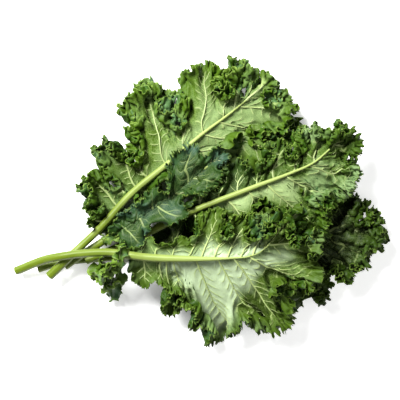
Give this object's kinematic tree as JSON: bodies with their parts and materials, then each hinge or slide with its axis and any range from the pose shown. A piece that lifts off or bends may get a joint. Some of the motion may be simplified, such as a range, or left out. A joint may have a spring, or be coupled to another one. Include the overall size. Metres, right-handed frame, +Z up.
{
  "type": "kale bunch",
  "caption": "Loose bunch of curly kale leaves fanned out on a flat surface, pale stalks together at one side and dark frilled blades at the other.",
  "frame": {"origin": "centre of the bunch's footprint, on the surface that it lies on", "axes": "+X from the cut stalk ends towards the leaf tips, along the longest extent; +Z up, the way the bunch lies"},
  "size_m": [0.403, 0.3108, 0.0678],
  "materials": {
    "stalk": "smooth, faintly waxy yellow-green stalk with fine lengthwise ridges",
    "pale_blade": "leaf blade seen from its pale underside, with dark green frilled margins",
    "dark_blade": "dark green upper side, tightly curled",
    "teal_blade": "blue-green upper side with a waxy bloom",
    "olive_leaflet": "small olive-green leaf lobe"
  },
  "bodies": {
    "root": {"right_stalk": "stalk", "right_blade": "dark_blade", "left_stalk": "stalk", "left_blade": "pale_blade", "middle_stalk": "stalk", "middle_blade": "pale_blade", "inner_stalk": "stalk", "inner_blade": "teal_blade", "front_stalk": "stalk", "front_blade": "pale_blade", "crossing_leaflet": "olive_leaflet", "curled_leaflet": "olive_leaflet"}
  },
  "joints": []
}
